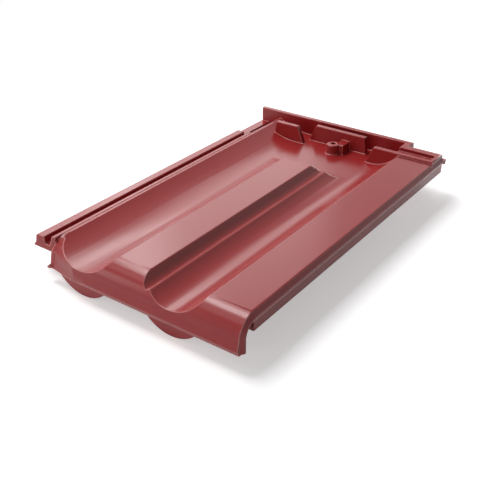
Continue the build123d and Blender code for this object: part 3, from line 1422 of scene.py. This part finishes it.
@dataclass
class RoofTile:
    """The whole tile, pressed and fired as one piece."""

    node: str = "clay_roof_tile"
    slot: str = "glazed_clay"
    sharp_angle: float = 32.0
    section: Section = Section()

    def pressed(self) -> Clay:
        """Joins every form of the tile.

        Returns:
            The tile in millimetres, in its own frame.
        """
        section = self.section
        foot = Foot(section)
        flange = CoverFlange(section, foot)
        head = HeadLock(section, flange.end)
        clay = section.body() - foot.ahead_of_nose()
        clay = clay + foot.apron()
        log.info("foot with nose and apron: %d faces", len(clay.mesh.polygons))
        clay = clay + head.bed() - head.basin()
        for cut in head.lock_steps():
            clay = clay - cut
        for rib in (*head.standing_ribs(), head.wall()):
            clay = clay + rib
        clay = clay - head.frame_hollow() + head.frame()
        log.info("head lock with ribs and frame: %d faces", len(clay.mesh.polygons))
        clay = clay - foot.rim_dip() - foot.lock_front() + foot.corner_burr()
        clay = clay - head.past_flange()
        clay = clay + flange.side_ridge() + flange.head_ridge(head.jog_right - section.edge_radius)
        for notch in head.notches(flange.burr):
            clay = clay - notch
        clay = clay - head.groove() + flange.hanging_rib()
        log.info("cover flange with its ridges and hanging rib: %d faces", len(clay.mesh.polygons))
        clay = clay + head.boss() + head.web()
        lugs = HangingLugs(section)
        clay = clay + (foot.half_round(section.lock_trough_middle) - foot.rim_dip())
        clay = clay + foot.half_round(section.cover_trough_middle)
        for middle in (section.lock_trough_middle, section.cover_trough_middle):
            clay = clay + lugs.lug(middle)
        clay = clay - head.nail_hole()
        log.info("boss, feet and lugs: %d faces", len(clay.mesh.polygons))
        return clay

    def build(self, corner: Vector) -> bpy.types.Object:
        """Builds the tile's object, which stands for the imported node.

        Args:
            corner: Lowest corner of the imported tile's box, in metres.

        Returns:
            The tile.
        """
        mesh = self.pressed().mesh
        mesh.name = "fired_tile"
        section = self.section
        own_corner = Vector((section.burr_end, -Foot(section).lip_overhang, -section.rest_depth))
        millimetres = Matrix.Diagonal((0.001, 0.001, 0.001, 1.0))
        mesh.transform(Matrix.Translation(corner) @ millimetres @ Matrix.Translation(-own_corner))
        mesh.materials.clear()
        mesh.materials.append(ENGOBE.material())
        for face in mesh.polygons:
            face.use_smooth = True
            face.material_index = 0
        mesh.set_sharp_from_angle(angle=math.radians(self.sharp_angle))
        rough = placed("rough_tile", mesh)
        even = rough.modifiers.new("even_normals", "WEIGHTED_NORMAL")
        even.keep_sharp = True
        tile = placed("fired_tile", evaluated_mesh(rough))
        bpy.data.objects.remove(rough)
        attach(tile, "root")
        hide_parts(self.node)
        return tile


@dataclass
class Studio:
    """Pale floor, soft lamps and a white surround."""

    floor_half: float = 1.0
    floor_colour: Colour = (0.80, 0.80, 0.80, 1.0)
    floor_lift: float = 0.46
    sky_level: float = 0.03
    lamp_distance: float = 1.9
    lamp_size: float = 0.8
    lamps: tuple[tuple[str, float, float, float], ...] = (
        ("high_softbox", 270.0, 65.0, 22.3),
        ("side_softbox", 300.0, 48.0, 8.7),
        ("low_side_softbox", 300.0, 30.0, 3.8),
        ("low_back_softbox", 320.0, 30.0, 3.6),
        ("head_softbox", 0.0, 12.0, 9.6),
        ("front_softbox", 225.0, 48.0, 3.2),
        ("low_front_softbox", 225.0, 12.0, 5.2),
        ("low_foot_softbox", 180.0, 12.0, 6.7),
    )

    def build(self) -> bpy.types.Object:
        """Builds the floor, the surround and the lamps.

        Returns:
            The floor.
        """
        floor = self.floor()
        self.surround()
        for name, azimuth, elevation, power in self.lamps:
            self.lamp(name, azimuth, elevation, power)
        return floor

    def floor(self) -> bpy.types.Object:
        """Makes the floor, which keeps the tile's shadow and reads white to the camera.

        Returns:
            The floor's object.
        """
        half = self.floor_half
        mesh = bpy.data.meshes.new("floor")
        corners = [(-half, -half, 0), (half, -half, 0), (half, half, 0), (-half, half, 0)]
        mesh.from_pydata(corners, [], [(0, 1, 2, 3)])
        floor = placed("floor", mesh)
        material = bpy.data.materials.new("floor_paper")
        material.use_nodes = True
        tree = material.node_tree
        tree.nodes.clear()
        seen = self.seen_directly(tree, -800)
        lift = node_at(tree, "ShaderNodeMath", -400, 200, {1: self.floor_lift}, operation="MULTIPLY")
        paper = node_at(tree, "ShaderNodeBsdfDiffuse", -200, 0, {"Color": self.floor_colour})
        glow = node_at(tree, "ShaderNodeEmission", -200, 200)
        both = node_at(tree, "ShaderNodeAddShader", 0, 100)
        out = node_at(tree, "ShaderNodeOutputMaterial", 200, 100)
        wire(tree, (seen, 0, lift, 0), (lift, 0, glow, "Strength"), (glow, 0, both, 0), (paper, 0, both, 1),
             (both, 0, out, "Surface"))
        mesh.materials.append(material)
        floor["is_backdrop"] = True
        return floor

    def surround(self) -> None:
        """Makes the world white to the camera and a plain level for light."""
        world = bpy.data.worlds.new("surround")
        bpy.context.scene.world = world
        world.use_nodes = True
        tree = world.node_tree
        back = tree.nodes["Background"]
        back.inputs["Color"].default_value = (1.0, 1.0, 1.0, 1.0)
        level = node_at(tree, "ShaderNodeMapRange", -300, 0, {"To Min": self.sky_level, "To Max": 1.0})
        wire(tree, (self.seen_directly(tree, -800), 0, level, "Value"), (level, "Result", back, "Strength"))

    def seen_directly(self, tree: bpy.types.NodeTree, x: float) -> bpy.types.Node:
        """Tells rays that show a surface, from the camera, a gloss or a glass, from rays that only light it.

        Args:
            tree: Node tree that gets the nodes.
            x: Place of the first of them in the editor.

        Returns:
            Node whose output is 1 for the rays that show it.
        """
        path = node_at(tree, "ShaderNodeLightPath", x - 200, 200)
        mirrored = node_at(tree, "ShaderNodeMath", x, 200, operation="MAXIMUM")
        seen = node_at(tree, "ShaderNodeMath", x + 200, 200, operation="MAXIMUM")
        wire(tree, (path, "Is Glossy Ray", mirrored, 0), (path, "Is Transmission Ray", mirrored, 1),
             (path, "Is Camera Ray", seen, 0), (mirrored, 0, seen, 1))
        return seen

    def lamp(self, name: str, azimuth: float, elevation: float, power: float) -> None:
        """Hangs one soft lamp that faces the tile.

        Args:
            name: Name of the lamp.
            azimuth: Its direction from the head of the tile towards the cover side, in degrees.
            elevation: Its height above the floor, in degrees.
            power: Power in watts.
        """
        data = bpy.data.lights.new(name, "AREA")
        data.shape = "SQUARE"
        data.size = self.lamp_size
        data.energy = power
        lamp = placed(name, data)
        turn, rise = math.radians(azimuth), math.radians(elevation)
        towards = Vector((math.sin(turn) * math.cos(rise), math.cos(turn) * math.cos(rise), math.sin(rise)))
        lamp.location = towards * self.lamp_distance
        lamp.rotation_euler = (-towards).to_track_quat("-Z", "Y").to_euler()


@dataclass
class PhotoCamera:
    """Camera at the photograph's view, placed from the tile's lock-side foot corner."""

    from_lock_edge: float = 0.53211
    from_foot: float = -0.38631
    height: float = 0.3957
    azimuth: float = 35.82
    elevation: float = 29.88
    lens: float = 57.98
    sensor: float = 36.0

    def build(self, corner: Vector) -> bpy.types.Object:
        """Places the camera.

        Args:
            corner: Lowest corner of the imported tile's box.

        Returns:
            The camera's object.
        """
        data = bpy.data.cameras.new("photo_camera")
        data.lens = self.lens
        data.sensor_width = self.sensor
        data.sensor_fit = "HORIZONTAL"
        camera = placed("photo_camera", data)
        camera.location = (corner.x + self.from_lock_edge, corner.y + self.from_foot, self.height)
        camera.rotation_euler = (math.radians(90.0 - self.elevation), 0.0, math.radians(self.azimuth))
        bpy.context.scene.camera = camera
        return camera


def main() -> None:
    """Builds the tile, the studio and the camera in order."""
    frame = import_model()
    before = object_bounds()
    bpy.context.scene.view_settings.view_transform = "Standard"
    tile = RoofTile().build(before[0])
    faces = len(tile.data.polygons)
    log.info("built %s for %d packed node with %d faces", tile.name, len(frame["nodes"]), faces)
    Studio().build()
    PhotoCamera().build(before[0])


if __name__ == "__main__":
    main()
